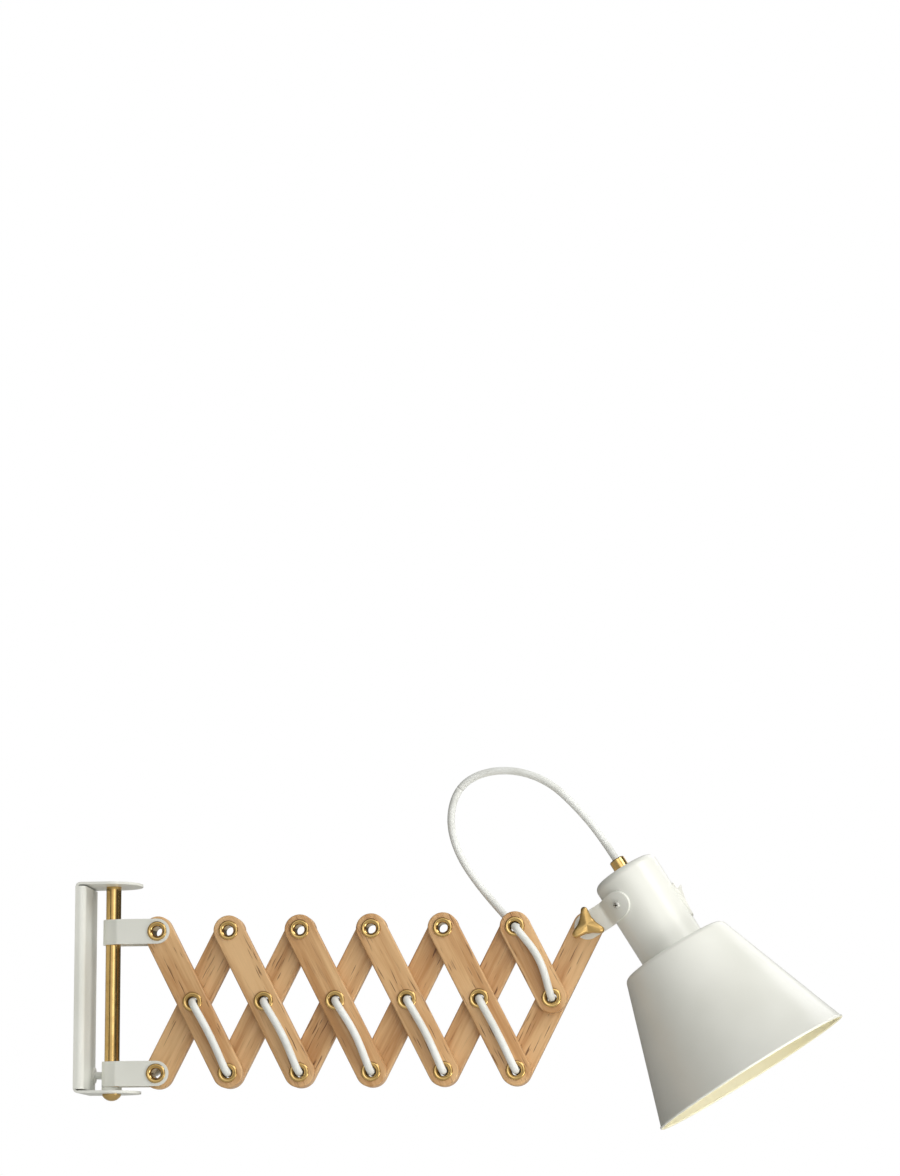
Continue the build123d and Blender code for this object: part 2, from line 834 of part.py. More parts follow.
# ---------------------------------------------------------------- gland, tube and nut
thread_r = tube_d / 2 + seat_play
with BuildPart() as gland:
    add_turned(
        [
            (cord_d / 2 + cord_hole_play, -gland_height),
            (gland_d / 2, -gland_height),
            (gland_d / 2, 0),
            (thread_r, 0),
            (thread_r, -gland_height + gland_grip),
            (cord_d / 2 + cord_hole_play, -gland_height + gland_grip),
        ]
    )
    chamfer(
        gland.edges().filter_by(GeomType.CIRCLE).sort_by(SortBy.RADIUS)[-2:], gland_edge
    )
finish(gland, "cord_gland")

with BuildPart() as tube:
    add_turned(
        [
            (tube_bore_d / 2, -gland_height + gland_grip + seat_play),
            (tube_d / 2, -gland_height + gland_grip + seat_play),
            (tube_d / 2, holder_top),
            (tube_bore_d / 2, holder_top),
        ]
    )
finish(tube, "threaded_tube")

with BuildPart() as lock_nut:
    with BuildSketch(axis_plane(shell)):
        RegularPolygon(lock_nut_flats / 2, 6, major_radius=False)
        Circle(thread_r, mode=Mode.SUBTRACT)
    extrude(amount=lock_nut_h)
finish(lock_nut, "lock_nut")

# ---------------------------------------------------------------- lamp holder
contact_top = holder_mouth - holder_lip - contact_length
shell_r = contact_bore_d / 2 + contact_sheet + seat_play
cap_r, skirt_r = holder_cap_d / 2, holder_skirt_d / 2
with BuildPart() as holder:
    add_turned(
        [
            (thread_r, holder_top - holder_boss_h),
            (holder_boss_d / 2, holder_top - holder_boss_h),
            (holder_boss_d / 2, holder_top),
            (cap_r - holder_slope, holder_top + holder_slope_top),
            (cap_r, holder_top + holder_slope_foot),
            (cap_r, holder_skirt_top),
            (skirt_r, holder_skirt_top),
            (skirt_r, holder_mouth),
            (contact_bore_d / 2, holder_mouth),
            (contact_bore_d / 2, holder_mouth - holder_lip + seat_play),
            (shell_r, holder_mouth - holder_lip + seat_play),
            (shell_r, contact_top - contact_tip_h),
            (tube_bore_d / 2, contact_top - contact_tip_h),
            (tube_bore_d / 2, holder_top + seat_play),
            (thread_r, holder_top + seat_play),
        ]
    )
finish(holder, "lamp_holder")

with BuildPart() as contacts:
    add_turned(
        [
            (contact_bore_d / 2, contact_top),
            (contact_bore_d / 2 + contact_sheet, contact_top),
            (contact_bore_d / 2 + contact_sheet, contact_top + contact_length),
            (contact_bore_d / 2, contact_top + contact_length),
        ]
    )
    with BuildSketch(axis_plane(contact_top - contact_tip_h)):
        Circle(contact_tip_d / 2)
    extrude(amount=contact_tip_h)
finish(contacts, "lamp_contacts")

ring_top = shoulder_at + shell / 2
with BuildPart() as ring:
    add_turned(
        [
            (skirt_r + seat_play, ring_top),
            (ring_d / 2, ring_top),
            (ring_d / 2, ring_top + ring_lip),
            (ring_d / 2 - ring_step, ring_top + ring_lip + ring_slope),
            (ring_d / 2 - ring_step, ring_top + ring_height),
            (skirt_r + seat_play, ring_top + ring_height),
        ]
    )
finish(ring, "shade_ring")

# ---------------------------------------------------------------- rocker switch
# Its frame: x along the shade's axis, y towards the camera side, z out of the neck.
switch_middle = neck_top + along * switch_place + across * neck_r
switch_plane = Plane(switch_middle, x_dir=along, z_dir=across)
bezel_sag = neck_r - (neck_r**2 - (bezel_width / 2) ** 2) ** 0.5
well_depth = rocker_depth + rocker_floor_play
with BuildPart() as switch:
    with BuildSketch(switch_plane.offset(-bezel_sag)):
        RectangleRounded(bezel_length, bezel_width, bezel_corner)
    extrude(amount=bezel_sag + bezel_rise)
    outermost = switch.faces().sort_by(lambda f: f.center().dot(across))[-1]
    fillet(outermost.edges(), bezel_edge)
    with BuildSketch(axis_plane()):
        Circle(neck_r)
    extrude(amount=neck_length, mode=Mode.SUBTRACT)
    with BuildSketch(switch_plane.offset(bezel_rise)):
        Rectangle(switch_length, switch_width)
    extrude(amount=-bezel_rise - switch_depth)
    with BuildSketch(switch_plane.offset(bezel_rise)):
        Rectangle(
            rocker_length + 2 * rocker_end_play, rocker_width + 2 * rocker_side_play
        )
    extrude(amount=-bezel_rise - well_depth, mode=Mode.SUBTRACT)
finish(switch, "switch_body")

rocker_half = rocker_length / 2
with BuildPart() as rocker:
    rocked = radians(rocker_tilt)
    rocker_x = along * cos(rocked) - across * sin(rocked)
    with BuildSketch(Plane(switch_middle, x_dir=rocker_x, z_dir=(0, -1, 0))):
        with BuildLine():
            Polyline(
                (-rocker_half, rocker_rise + rocker_end_rise),
                (-rocker_half + rocker_end_taper, -rocker_end_depth),
                (-rocker_foot, -rocker_depth),
                (rocker_foot, -rocker_depth),
                (rocker_half - rocker_end_taper, -rocker_end_depth),
                (rocker_half, rocker_rise + rocker_end_rise),
            )
            ThreePointArc(
                (rocker_half, rocker_rise + rocker_end_rise),
                (0, rocker_rise),
                (-rocker_half, rocker_rise + rocker_end_rise),
            )
        make_face()
    extrude(amount=rocker_width / 2, both=True)
finish(rocker, "switch_rocker")
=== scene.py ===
"""Wall lamp on a folding scissor arm: cords, trim, finishes, light and camera round its frame.

Metres. +Z is up, +X leads away from the wall and -Y faces the side with the wing knob.
"""

import json
import math

import bmesh
import bpy
from bpy.props import FloatProperty, FloatVectorProperty, IntProperty, PointerProperty
from mathutils import Matrix, Vector


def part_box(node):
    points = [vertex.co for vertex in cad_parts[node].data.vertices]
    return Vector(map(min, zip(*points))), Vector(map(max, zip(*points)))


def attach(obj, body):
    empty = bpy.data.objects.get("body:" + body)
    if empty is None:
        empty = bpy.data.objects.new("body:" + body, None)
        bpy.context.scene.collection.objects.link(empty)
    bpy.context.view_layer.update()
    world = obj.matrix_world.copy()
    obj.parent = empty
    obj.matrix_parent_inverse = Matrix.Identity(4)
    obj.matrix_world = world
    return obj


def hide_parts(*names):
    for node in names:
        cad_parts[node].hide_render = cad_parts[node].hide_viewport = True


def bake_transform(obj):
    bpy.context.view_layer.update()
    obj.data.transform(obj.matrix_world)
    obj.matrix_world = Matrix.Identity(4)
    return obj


bl_info = {
    "name": "Scissor Arm Wall Lamp",
    "version": (1, 0, 0),
    "blender": (4, 5, 0),
    "location": "View3D > Sidebar > Wall Lamp",
    "description": "Dresses the frame of a wall lamp on a folding scissor arm",
    "category": "Object",
}

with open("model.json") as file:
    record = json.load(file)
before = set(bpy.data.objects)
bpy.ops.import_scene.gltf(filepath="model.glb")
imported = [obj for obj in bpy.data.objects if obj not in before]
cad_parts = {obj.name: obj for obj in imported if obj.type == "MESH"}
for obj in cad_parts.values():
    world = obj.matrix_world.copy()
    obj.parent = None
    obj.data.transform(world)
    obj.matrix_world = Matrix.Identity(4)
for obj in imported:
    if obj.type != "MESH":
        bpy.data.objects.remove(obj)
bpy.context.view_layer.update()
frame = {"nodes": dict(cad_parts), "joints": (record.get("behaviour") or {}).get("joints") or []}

BAYS = 6

# Places taken over from the frame: the arm's columns, its rows and the head's pivot.
LOW_Z = frame["joints"][1]["pos_m"][2]
FIRST_X = frame["joints"][1]["pos_m"][0]
HEAD_JOINT = next(j for j in frame["joints"] if j["name"] == "head_tilt")
PIVOT = Vector(HEAD_JOINT["pos_m"])
TOP_Z = PIVOT.z
BAY = (PIVOT.x - FIRST_X) / BAYS
LEAN = math.atan2(BAY, TOP_Z - LOW_Z)

# Where the eyelets' flanges lie: on the slats, or on the straps round them.
SLAT_FACE = 0.0082
STRAP_FACE = 0.0102
SLIP = 0.0001

# Studio lamps: name, place, size in metres, power in watts and colour.
LAMPS = (
    ("key", (1.45, -0.70, 1.25), 0.8, 11, (1.0, 0.99, 0.975)),
    ("bounce", (0.85, -0.42, -0.40), 0.5, 4, (1.0, 0.98, 0.93)),
    ("fill", (0.75, -1.8, 0.5), 0.9, 3.1, (0.97, 0.98, 1.0)),
    ("back", (0.9, 1.2, 1.0), 0.9, 4, (1.0, 1.0, 1.0)),
)
LAMP_AIM = Vector((0.33, 0, 0.0))
CAMERA_AIM = Vector((0.29785, 0, 0.12923))

# The head's own directions at rest: along runs down the shade's axis.
TILT = math.radians(31.5)
ALONG = Vector((math.sin(TILT), 0, -math.cos(TILT)))
ACROSS = Vector((math.cos(TILT), 0, math.sin(TILT)))
NECK_TOP = PIVOT + ACROSS * 0.0473 - ALONG * 0.0235 + Vector((0, 0.0035, 0))


def srgb(red, green, blue):
    """Linear colour from the 0 to 255 values of a picture."""
    return tuple(
        c / 12.92 if c <= 0.04045 else ((c + 0.055) / 1.055) ** 2.4
        for c in (red / 255, green / 255, blue / 255)
    )


def colour_property(name, description, default):
    """A colour that the sidebar can change."""
    return FloatVectorProperty(
        name=name, description=description, subtype="COLOR", size=3, min=0, max=1,
        default=default,
    )


def length_property(name, description, default):
    """A length in metres that the sidebar can change."""
    return FloatProperty(
        name=name, description=description, default=default, min=0, unit="LENGTH"
    )


# ---------------------------------------------------------------- settings
class WoodSettings(bpy.types.PropertyGroup):
    """Colours of the slats."""

    pale: colour_property("Pale Wood", "Lightest colour of the slats", srgb(224, 184, 134))
    warm: colour_property("Warm Wood", "Darker bands of the grain", srgb(184, 134, 82))
    fleck: colour_property("Flecks", "Short dark flecks in the grain", srgb(100, 60, 28))
    fleck_share: FloatProperty(
        name="Fleck Share", description="How strongly the flecks show", default=0.85,
        min=0, max=1, subtype="FACTOR",
    )


class MetalSettings(bpy.types.PropertyGroup):
    """Colours of the brass, the zinc and the paint."""

    brass: colour_property("Brass", "Polished brass", srgb(212, 178, 116))
    tarnish: colour_property("Tarnish", "Where the brass has dulled", srgb(172, 136, 76))
    zinc: colour_property("Zinc", "Plated screws", srgb(226, 226, 220))
    paint: colour_property("Paint", "White paint outside", srgb(232, 233, 227))
    paint_shade: colour_property(
        "Paint in Corners", "Faint tone of thin paint", srgb(224, 225, 218)
    )
    lining: colour_property("Lining", "Cream paint inside the shade", srgb(255, 250, 224))


class CordSettings(bpy.types.PropertyGroup):
    """Size and colour of the cord."""

    diameter: length_property("Diameter", "Outside of the cord's sheath", 0.006)
    sheath: colour_property("Sheath", "Colour of the cord", srgb(236, 238, 236))
    plastic: colour_property("Plastic", "Switch, bush and shade ring", srgb(234, 234, 228))
    holder: colour_property("Holder", "Lamp holder", srgb(238, 236, 228))


class ShadeSettings(bpy.types.PropertyGroup):
    """Sizes of the spun shade."""

    shoulder: length_property("Shoulder", "Radius of the flat shoulder", 0.0445)
    rim: length_property("Rim", "Radius at the mouth", 0.083)
    height: length_property("Height", "Shoulder to mouth along the axis", 0.113)
    wall: length_property("Wall", "Thickness of the sheet", 0.001)
    start: length_property("Start", "Neck top to the shoulder", 0.075)
    segments: IntProperty(
        name="Segments", description="Faces round the shade", default=144, min=24
    )


class EyeletSettings(bpy.types.PropertyGroup):
    """Sizes of the rolled eyelets."""

    bore: length_property("Bore", "Radius of the hole", 0.0039)
    barrel: length_property("Barrel", "Radius of the tube in the wood", 0.0045)
    flange: length_property("Flange", "Radius of the rolled flange", 0.0078)
    lift: length_property("Lift", "Height of the flange", 0.0012)
    segments: IntProperty(
        name="Segments", description="Faces round an eyelet", default=72, min=16
    )


class KnobSettings(bpy.types.PropertyGroup):
    """Shape of the wing knob."""

    reach: length_property("Reach", "Centre to the tip of a wing", 0.0143)
    tip: length_property("Tip", "Radius of a wing's round tip", 0.0027)
    waist: length_property("Waist", "Radius that the wings grow from", 0.0060)
    boss: length_property("Boss", "Radius of the boss behind the wings", 0.0060)
    hollow: length_property("Hollow", "Filling of the hollows between the wings", 0.0008)
    crown: length_property("Crown", "Rise of the ridges over the hollows", 0.0016)
    edge: length_property("Edge", "Depth of the rounded edge", 0.0012)
    first_wing: FloatProperty(
        name="First Wing", description="Direction of the upper wing at rest",
        default=math.radians(100), subtype="ANGLE",
    )
    segments: IntProperty(
        name="Segments", description="Faces round the knob", default=240, min=24
    )


class StageSettings(bpy.types.PropertyGroup):
    """Camera and studio."""

    lens: FloatProperty(
        name="Lens", description="Focal length", default=94.68, min=1, unit="CAMERA"
    )
    distance: length_property("Distance", "Camera to its target", 2.4658)
    azimuth: FloatProperty(
        name="Azimuth", description="Turn of the camera round the lamp",
        default=math.radians(6), subtype="ANGLE",
    )
    elevation: FloatProperty(
        name="Elevation", description="Camera above the horizon",
        default=math.radians(-7.88), subtype="ANGLE",
    )
    roll: FloatProperty(
        name="Roll", description="Turn of the picture", default=math.radians(-0.18),
        subtype="ANGLE",
    )
    lit_side: FloatProperty(
        name="Lit Side", description="Surroundings at the upper right", default=0.85, min=0
    )
    shadow_side: FloatProperty(
        name="Shadow Side", description="Surroundings at the lower left", default=0.02, min=0
    )
    mirror_side: FloatProperty(
        name="Mirror Side", description="What metal mirrors beside the white in front",
        default=0.10, min=0,
    )
    surroundings: colour_property(
        "Surroundings", "Colour of the light from the room", srgb(255, 254, 249)
    )
    floor_drop: length_property("Floor Drop", "Origin to the floor", 0.42)
    floor: colour_property("Floor", "Colour of the floor", srgb(206, 206, 204))


class LampSettings(bpy.types.PropertyGroup):
    """All settings of the lamp."""

    wood: PointerProperty(type=WoodSettings)
    metal: PointerProperty(type=MetalSettings)
    cord: PointerProperty(type=CordSettings)
    shade: PointerProperty(type=ShadeSettings)
    eyelet: PointerProperty(type=EyeletSettings)
    knob: PointerProperty(type=KnobSettings)
    stage: PointerProperty(type=StageSettings)


# ---------------------------------------------------------------- shader expressions
class Value:
    """A node's output that takes part in Python arithmetic."""

    def __init__(self, graph, socket):
        self.graph = graph
        self.socket = socket

    def _math(self, operation, *values):
        return self.graph.node("ShaderNodeMath", {"operation": operation}, dict(enumerate(values)))

    def __add__(self, other):
        return self._math("ADD", self, other)

    __radd__ = __add__

    def __sub__(self, other):
        return self._math("SUBTRACT", self, other)

    def __rsub__(self, other):
        return self._math("SUBTRACT", other, self)

    def __mul__(self, other):
        return self._math("MULTIPLY", self, other)

    __rmul__ = __mul__

    def __or__(self, other):
        return self._math("MAXIMUM", self, other)


class Graph:
    """Adds nodes to one node tree."""

    def __init__(self, tree):
        self.nodes = tree.nodes
        self.links = tree.links

    def node(self, kind, settings=None, inputs=None, output=0):
        """Adds a node, sets it up, feeds its sockets and returns one of its outputs."""
        made = self.nodes.new(kind)
        for name, value in (settings or {}).items():
            if name == "stops":
                ramp = made.color_ramp
                while len(ramp.elements) < len(value):
                    ramp.elements.new(0.5)
                for element, (position, colour) in zip(ramp.elements, value):
                    element.position = position
                    element.color = (*colour, 1)
            else:
                setattr(made, name, value)
        for key, value in (inputs or {}).items():
            self.feed(made.inputs[key], value)
        return Value(self, made.outputs[output])

    def feed(self, socket, value):
        """Links a value to a socket, or sets the socket to a plain number or colour."""
        if isinstance(value, Value):
            self.links.new(value.socket, socket)
        elif isinstance(value, (int, float)):
            socket.default_value = value
        elif socket.type == "RGBA":
            socket.default_value = (*value, 1)[:4]
        else:
            socket.default_value = value

    def remap(self, value, low, high, to_low=0.0, to_high=1.0):
        """Value between low and high stretched to a new range, smooth at both ends."""
        return self.node(
            "ShaderNodeMapRange", {"interpolation_type": "SMOOTHSTEP"},
            {0: value, 1: low, 2: high, 3: to_low, 4: to_high},
        )

    def blend_colour(self, factor, first, second):
        """Colour between first and second."""
        return self.node(
            "ShaderNodeMix", {"data_type": "RGBA"}, {0: factor, 6: first, 7: second}, 2,
        )

    def dot(self, vector, direction):
        """Length of a vector along a direction."""
        return self.node(
            "ShaderNodeVectorMath", {"operation": "DOT_PRODUCT"},
            {0: vector, 1: tuple(direction)}, "Value",
        )


class Finish(Graph):
    """A material with a Principled shader and the nodes that feed it."""

    def __init__(self, name, **uniform):
        self.material = bpy.data.materials.new(name)
        self.material.use_nodes = True
        super().__init__(self.material.node_tree)
        self.shader = self.nodes["Principled BSDF"]
        self.set(**uniform)

    def set(self, **sockets):
        """Feeds the Principled shader's own sockets."""
        for name, value in sockets.items():
            self.feed(self.shader.inputs[name.replace("_", " ")], value)

    def place(self):
        """The point on the object at rest, as a vector."""
        return self.node("ShaderNodeTexCoord", output="Object")

    def axis_value(self, direction, origin=(0, 0, 0)):
        """Distance of the point from origin along a direction."""
        away = self.node(
            "ShaderNodeVectorMath", {"operation": "SUBTRACT"}, {0: self.place(), 1: origin}
        )
        return self.dot(away, direction)

    def noise(self, vector, scale, detail=3.0, roughness=0.5, distortion=0.0):
        """Soft noise from 0 to 1."""
        return self.node(
            "ShaderNodeTexNoise", {},
            {
                "Vector": vector, "Scale": scale, "Detail": detail,
                "Roughness": roughness, "Distortion": distortion,
            },
        )

    def bump(self, height, distance, strength=1.0):
        """Feeds the shader's normal with a relief that many metres high."""
        self.set(Normal=self.node(
            "ShaderNodeBump", {},
            {"Height": height, "Distance": distance, "Strength": strength},
        ))


# ---------------------------------------------------------------- finishes
def wood_finish(name, origin, direction, seed, wood):
    """Clear-lacquered pale wood with its grain along one slat."""
    finish = Finish(name, Coat_Weight=0.25, Coat_Roughness=0.22, Specular_IOR_Level=0.4)
    sideways = Vector((direction[2], 0, -direction[0]))
    u = finish.axis_value(direction, origin)
    v = finish.axis_value(sideways, origin)
    w = finish.axis_value((0, 1, 0), origin)

    def grain(along, across, offset):
        return finish.node(
            "ShaderNodeCombineXYZ", {},
            {0: u * along + offset, 1: v * across + offset, 2: w * across + seed},
        )

    bands = finish.noise(grain(7, 95, seed), 1.0, 4.0, 0.55, 0.6)
    fibres = finish.noise(grain(45, 1500, seed + 3), 1.0, 3.0, 0.6)
    flecks = finish.noise(grain(48, 720, seed + 7), 1.0, 2.0, 0.4)
    fleck = finish.remap(flecks, 0.62, 0.70)
    drift = finish.noise(grain(14, 30, seed + 11), 1.0, 1.0)
    patch = finish.remap(drift, 0.42, 0.60, 0.2, 1.0)
    tone = finish.remap(bands * 0.75 + fibres * 0.25, 0.34, 0.68)
    ground = finish.blend_colour(tone, wood.pale, wood.warm)
    marked = finish.blend_colour(fleck * patch * wood.fleck_share, ground, wood.fleck)
    ends = finish.remap(fibres, 0.3, 0.8, 0.96, 1.04)
    shaded = finish.node(
        "ShaderNodeVectorMath", {"operation": "SCALE"}, {0: marked, "Scale": ends}
    )
    finish.set(Base_Color=shaded, Roughness=finish.remap(fibres, 0.3, 0.7, 0.36, 0.5))
    finish.bump(fibres * 0.6 - fleck * 0.6, 0.00012, 0.5)
    return finish.material


def paint_finish(name, colour, thin, roughness=0.34, peel=1.0):
    """Sprayed paint with a fine orange peel and a faint drift of tone."""
    finish = Finish(name, Coat_Weight=0.2, Coat_Roughness=0.18)
    place = finish.place()
    drift = finish.noise(place, 16.0, 2.0)
    grit = finish.noise(place, 420.0, 2.0)
    speck = finish.noise(place, 1900.0, 1.0)
    finish.set(
        Base_Color=finish.blend_colour(finish.remap(drift, 0.35, 0.7), colour, thin),
        Roughness=finish.remap(grit, 0.3, 0.7, roughness - 0.05, roughness + 0.07),
    )
    if peel:
        finish.bump(grit * 0.8 + speck * 0.2, 0.00006 * peel, 0.5)
    return finish.material


def brass_finish(name, metal, roughness=0.2, brushed=(0, 1, 0), brush=0.3):
    """Polished brass with dull patches and fine turning marks round one axis."""
    finish = Finish(name, Metallic=1.0)
    place = finish.place()
    patches = finish.noise(place, 70.0, 4.0, 0.6)
    smudge = finish.noise(place, 260.0, 3.0)
    depth = finish.axis_value(brushed)
    marks = finish.noise(
        finish.node("ShaderNodeCombineXYZ", {}, {0: depth * 5200, 1: 0.0, 2: smudge}),
        1.0, 2.0,
    )
    dull = finish.remap(patches * 0.8 + smudge * 0.2, 0.40, 0.70)
    finish.set(
        Base_Color=finish.blend_colour(dull * 0.4, metal.brass, metal.tarnish),
        Roughness=finish.remap(smudge, 0.3, 0.7, roughness - 0.03, roughness + 0.05),
    )
    finish.bump(marks * brush + smudge * 0.2, 0.000003, 0.4)
    return finish.material


def zinc_finish(name, metal, shine=1.0):
    """Plated steel with a cloudy surface."""
    finish = Finish(name, Metallic=shine)
    cloud = finish.noise(finish.place(), 600.0, 3.0)
    finish.set(
        Base_Color=finish.blend_colour(
            finish.remap(cloud, 0.3, 0.7), metal.zinc, srgb(196, 196, 190)
        ),
        Roughness=finish.remap(cloud, 0.3, 0.7, 0.24, 0.4),
    )
    finish.bump(cloud, 0.00003, 0.4)
    return finish.material


def sheath_finish(name, colour):
    """Smooth flexible sheath with faint handling marks."""
    finish = Finish(name, Coat_Weight=0.1, Coat_Roughness=0.3)
    place = finish.place()
    drift = finish.noise(place, 34.0, 3.0)
    marks = finish.noise(place, 900.0, 2.0)
    finish.set(
        Base_Color=finish.blend_colour(
            finish.remap(drift, 0.4, 0.7, 0.0, 0.5), colour, srgb(206, 206, 198)
        ),
        Roughness=finish.remap(marks, 0.3, 0.7, 0.4, 0.54),
    )
    return finish.material


def plastic_finish(name, colour, roughness=0.32):
    """Moulded plastic with a fine spark-eroded grain."""
    finish = Finish(name, Coat_Weight=0.05)
    place = finish.place()
    grain = finish.noise(place, 2200.0, 2.0)
    drift = finish.noise(place, 60.0, 2.0)
    darker = tuple(c * 0.93 for c in colour)
    finish.set(
        Base_Color=finish.blend_colour(finish.remap(drift, 0.35, 0.7), colour, darker),
        Roughness=finish.remap(grain, 0.3, 0.7, roughness, roughness + 0.12),
    )
    finish.bump(grain, 0.00003, 0.5)
    return finish.material


# ---------------------------------------------------------------- mesh helpers
def new_mesh(name, vertices, faces, materials, smooth=True):
    """Object from plain lists, added to the scene."""
    mesh = bpy.data.meshes.new(name)
    mesh.from_pydata(vertices, [], faces)
    mesh.validate()
    for material in materials:
        mesh.materials.append(material)
    if smooth:
        mesh.shade_smooth()
    made = bpy.data.objects.new(name, mesh)
    bpy.context.scene.collection.objects.link(made)
    return made


def spline_path(points, steps=14):
    """Points along the smooth line that has the route's points as its control points."""
    curve = bpy.data.curves.new("route", "CURVE")
    curve.dimensions = "3D"
    curve.resolution_u = steps
    spline = curve.splines.new("NURBS")
    spline.points.add(len(points) - 1)
    for point, place in zip(spline.points, points):
        point.co = (*place, 1)
    spline.order_u = 3
    spline.use_endpoint_u = True
    route = bpy.data.objects.new("route", curve)
    bpy.context.scene.collection.objects.link(route)
    bpy.context.view_layer.update()
    mesh = bpy.data.meshes.new_from_object(route)
    path = [v.co.copy() for v in mesh.vertices]
    bpy.data.objects.remove(route)
    bpy.data.curves.remove(curve)
    bpy.data.meshes.remove(mesh)
    return path


def tube(name, path, radius, material, before=None, after=None, sides=32):
    """Round tube along a path, closed at both ends; before and after lead on past its ends."""
    line = [before or path[0], *path, after or path[-1]]
    tangents = [(line[i + 2] - line[i]).normalized() for i in range(len(path))]
    side = tangents[0].orthogonal().normalized()
    vertices = []
    for place, tangent in zip(path, tangents):
        side = (side - tangent * side.dot(tangent)).normalized()
        other = tangent.cross(side)
        for k in range(sides):
            turn = 2 * math.pi * k / sides
            vertices.append(place + (side * math.cos(turn) + other * math.sin(turn)) * radius)
    faces = []
    for i in range(len(path) - 1):
        for k in range(sides):
            a, b = i * sides + k, i * sides + (k + 1) % sides
            faces.append((a, b, b + sides, a + sides))
    faces.append(tuple(range(sides))[::-1])
    faces.append(tuple(range((len(path) - 1) * sides, len(path) * sides)))
    made = new_mesh(name, vertices, faces, [material])
    for cap in made.data.polygons[-2:]:
        cap.use_smooth = False
    return made


def lathe(name, outline, segments, materials, slots, origin, axis, across):
    """Solid of revolution from points (radius, distance); slots gives each band's material."""
    third = axis.cross(across)
    vertices, faces, bands = [], [], []
    count = len(outline)
    for k in range(segments):
        turn = 2 * math.pi * k / segments
        out = across * math.cos(turn) + third * math.sin(turn)
        for radius, distance in outline:
            vertices.append(origin + axis * distance + out * radius)
    for k in range(segments):
        here, after = k * count, (k + 1) % segments * count
        for i in range(count):
            j = (i + 1) % count
            faces.append((here + i, here + j, after + j, after + i))
            bands.append(slots[i])
    made = new_mesh(name, vertices, faces, materials)
    for face, band in zip(made.data.polygons, bands):
        face.material_index = band
    work = bmesh.new()
    work.from_mesh(made.data)
    bmesh.ops.recalc_face_normals(work, faces=work.faces)
    work.to_mesh(made.data)
    work.free()
    return made


def arc(centre, radius, start, end, steps):
    """Points (radius, distance) on a circle, with angles in degrees."""
    return [
        (
            centre[0] + radius * math.cos(math.radians(start + (end - start) * i / steps)),
            centre[1] + radius * math.sin(math.radians(start + (end - start) * i / steps)),
        )
        for i in range(steps + 1)
    ]


def dress(material, *nodes):
    """Gives CAD nodes a finish."""
    for name in nodes:
        mesh = frame["nodes"][name].data
        mesh.materials.clear()
        mesh.materials.append(material)


# ---------------------------------------------------------------- operators
class LAMP_OT_slats(bpy.types.Operator):
    """Gives each slat wood whose grain runs along it"""

    bl_idname = "lamp.slats"
    bl_label = "Slats"

    def execute(self, context):
        wood = context.scene.lamp.wood
        for i in range(BAYS):
            x = FIRST_X + i * BAY
            rise = (math.sin(LEAN), 0, math.cos(LEAN))
            fall = (math.sin(LEAN), 0, -math.cos(LEAN))
            rear = wood_finish(f"wood_rear_{i + 1}", (x, 0, LOW_Z), rise, 3.7 * i + 1.3, wood)
            front = wood_finish(f"wood_front_{i + 1}", (x, 0, TOP_Z), fall, 5.3 * i + 2.9, wood)
            dress(rear, f"rear_slat_{i + 1}")
            dress(front, f"front_slat_{i + 1}")
        return {"FINISHED"}


class LAMP_OT_brass(bpy.types.Operator):
    """Gives the rod and the turned fittings their brass"""

    bl_idname = "lamp.brass"
    bl_label = "Brass"

    def execute(self, context):
        metal = context.scene.lamp.metal
        dress(brass_finish("brass_bolt", metal, 0.2), "pivot_bolt")
        dress(brass_finish("brass_rod", metal, 0.14, (0, 0, 1), 0.2), "pivot_rod", "rod_screw")
        dress(
            brass_finish("brass_fittings", metal, 0.2, tuple(ALONG), 0.6),
            "cord_gland", "threaded_tube", "lock_nut", "lamp_contacts",
        )
        dress(zinc_finish("zinc_plate", metal), "earth_screw", "strap_nut")
        return {"FINISHED"}


class LAMP_OT_paint(bpy.types.Operator):
    """Paints the bracket, the straps and the neck, and finishes the plastic parts"""

    bl_idname = "lamp.paint"
    bl_label = "Painted Steel and Plastic"

    def execute(self, context):
        metal, cord = context.scene.lamp.metal, context.scene.lamp.cord
        paint = paint_finish("paint_white", metal.paint, metal.paint_shade)
        dress(
            paint, "bracket_plate", "cover_channel", "rod_collar", "upper_strap",
            "lower_strap", "head_strap", "neck_housing",
        )
        plastic = plastic_finish("plastic_white", cord.plastic)
        dress(
            plastic, "cord_bush", "upper_spacer", "lower_spacer", "switch_body",
            "switch_rocker", "shade_ring",
        )
        dress(plastic_finish("plastic_holder", cord.holder, 0.4), "lamp_holder")
        return {"FINISHED"}


